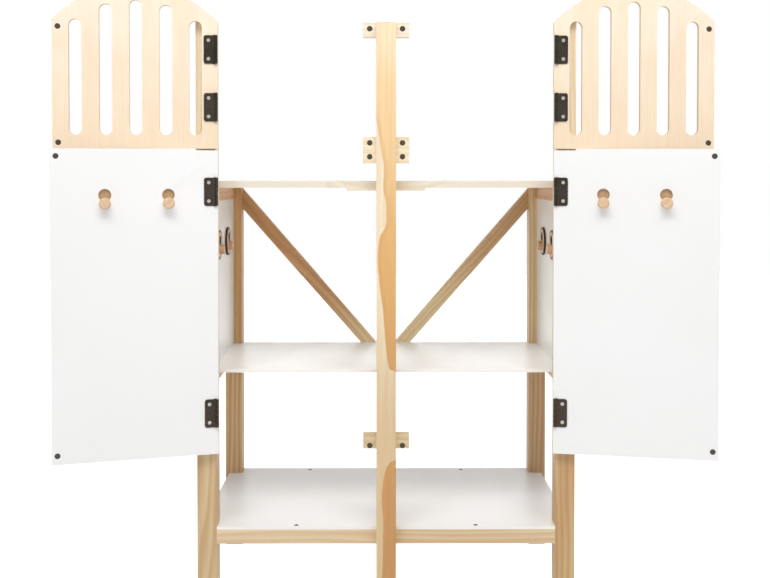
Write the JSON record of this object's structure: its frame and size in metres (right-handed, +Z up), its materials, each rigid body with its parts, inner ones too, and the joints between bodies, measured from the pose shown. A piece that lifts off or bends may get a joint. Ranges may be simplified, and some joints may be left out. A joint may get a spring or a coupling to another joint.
{
  "type": "wooden play stable",
  "caption": "Free-standing wooden play stable with shelves, diagonal rear braces, plain lower doors with pegs and slatted arched upper doors on butt hinges.",
  "frame": {"origin": "on the floor under the centre post, midway between the side posts and in line with their front faces", "axes": "+X to the right seen from the front, +Y to the back, +Z up"},
  "size_m": [1.1345, 0.439, 1.09],
  "materials": {
    "pine_front": "planed knotty pine, light grain, satin",
    "pine_centre": "planed pine with an orange heartwood streak, satin",
    "pine_rear": "planed pine, browner in shade, satin",
    "pine_rail": "planed pine, satin",
    "pine_light": "pale planed pine, satin",
    "white_shelf_board": "white faced board, satin",
    "white_door_board": "white faced board, smooth satin",
    "birch_ply": "pale birch plywood, fine grain, satin",
    "peg_wood": "turned light wood",
    "burnt_ring": "wooden disc with a burnt dark brown rim",
    "dowel_wood": "beech dowel",
    "black_nickel": "black nickel plated steel, shiny",
    "zinc_steel": "zinc plated steel",
    "dark_screw": "blackened steel screw",
    "magnet": "dark round magnet, dull"
  },
  "bodies": {
    "frame": {"front_left_post": "pine_front", "front_right_post": "pine_front", "centre_post": "pine_centre", "rear_left_post": "pine_rear", "rear_right_post": "pine_rear", "front_bottom_rail_left": "pine_rail", "front_bottom_rail_right": "pine_rail", "rear_bottom_rail": "pine_rail", "rear_middle_rail": "pine_rail", "side_bottom_rail_left": "pine_rail", "side_bottom_rail_right": "pine_rail", "side_middle_rail_left": "pine_rail", "side_middle_rail_right": "pine_rail", "side_top_rail_left": "pine_rail", "side_top_rail_right": "pine_rail", "rear_brace_left": "pine_rear", "rear_brace_right": "pine_rear", "bottom_shelf": "white_shelf_board", "middle_shelf": "white_shelf_board", "top_shelf": "white_shelf_board", "centre_gusset": "pine_light", "side_panel_left": "white_shelf_board", "side_panel_right": "white_shelf_board", "side_discs": "burnt_ring", "side_pegs": "peg_wood", "top_stop_blocks": "pine_light", "middle_stop_blocks": "pine_light", "bottom_stop_blocks": "pine_light", "stop_magnets": "magnet", "rail_dowels": "dowel_wood", "shelf_dowels": "dowel_wood", "shelf_screws": "dark_screw", "barrel_nuts": "zinc_steel", "rail_bolts": "zinc_steel", "post_hinge_leaves": "black_nickel", "hinge_pins": "black_nickel", "post_leaf_screws": "zinc_steel"},
    "lower_left_door": {"lower_left_panel": "white_door_board", "lower_left_leaves": "black_nickel", "lower_left_leaf_screws": "zinc_steel", "lower_left_magnets": "magnet", "lower_left_pegs": "peg_wood"},
    "lower_right_door": {"lower_right_panel": "white_door_board", "lower_right_leaves": "black_nickel", "lower_right_leaf_screws": "zinc_steel", "lower_right_magnets": "magnet", "lower_right_pegs": "peg_wood"},
    "upper_left_door": {"upper_left_panel": "birch_ply", "upper_left_leaves": "black_nickel", "upper_left_leaf_screws": "zinc_steel", "upper_left_magnets": "magnet"},
    "upper_right_door": {"upper_right_panel": "birch_ply", "upper_right_leaves": "black_nickel", "upper_right_leaf_screws": "zinc_steel", "upper_right_magnets": "magnet"}
  },
  "joints": [
    {"name": "lower_left_door_swing", "type": "hinge", "parent": "frame", "child": "lower_left_door", "pos_m": [-0.2932, -0.0126, 0.5445], "axis": [0, 0, 1], "range_deg": [-15.4, 164.6]},
    {"name": "lower_right_door_swing", "type": "hinge", "parent": "frame", "child": "lower_right_door", "pos_m": [0.2932, -0.0126, 0.5445], "axis": [0, 0, -1], "range_deg": [-10.5, 169.5]},
    {"name": "upper_left_door_swing", "type": "hinge", "parent": "frame", "child": "upper_left_door", "pos_m": [-0.2932, -0.0126, 0.93275], "axis": [0, 0, 1], "range_deg": [-7.5, 172.5]},
    {"name": "upper_right_door_swing", "type": "hinge", "parent": "frame", "child": "upper_right_door", "pos_m": [0.2932, -0.0126, 0.93275], "axis": [0, 0, -1], "range_deg": [-0.5, 179.5]}
  ]
}
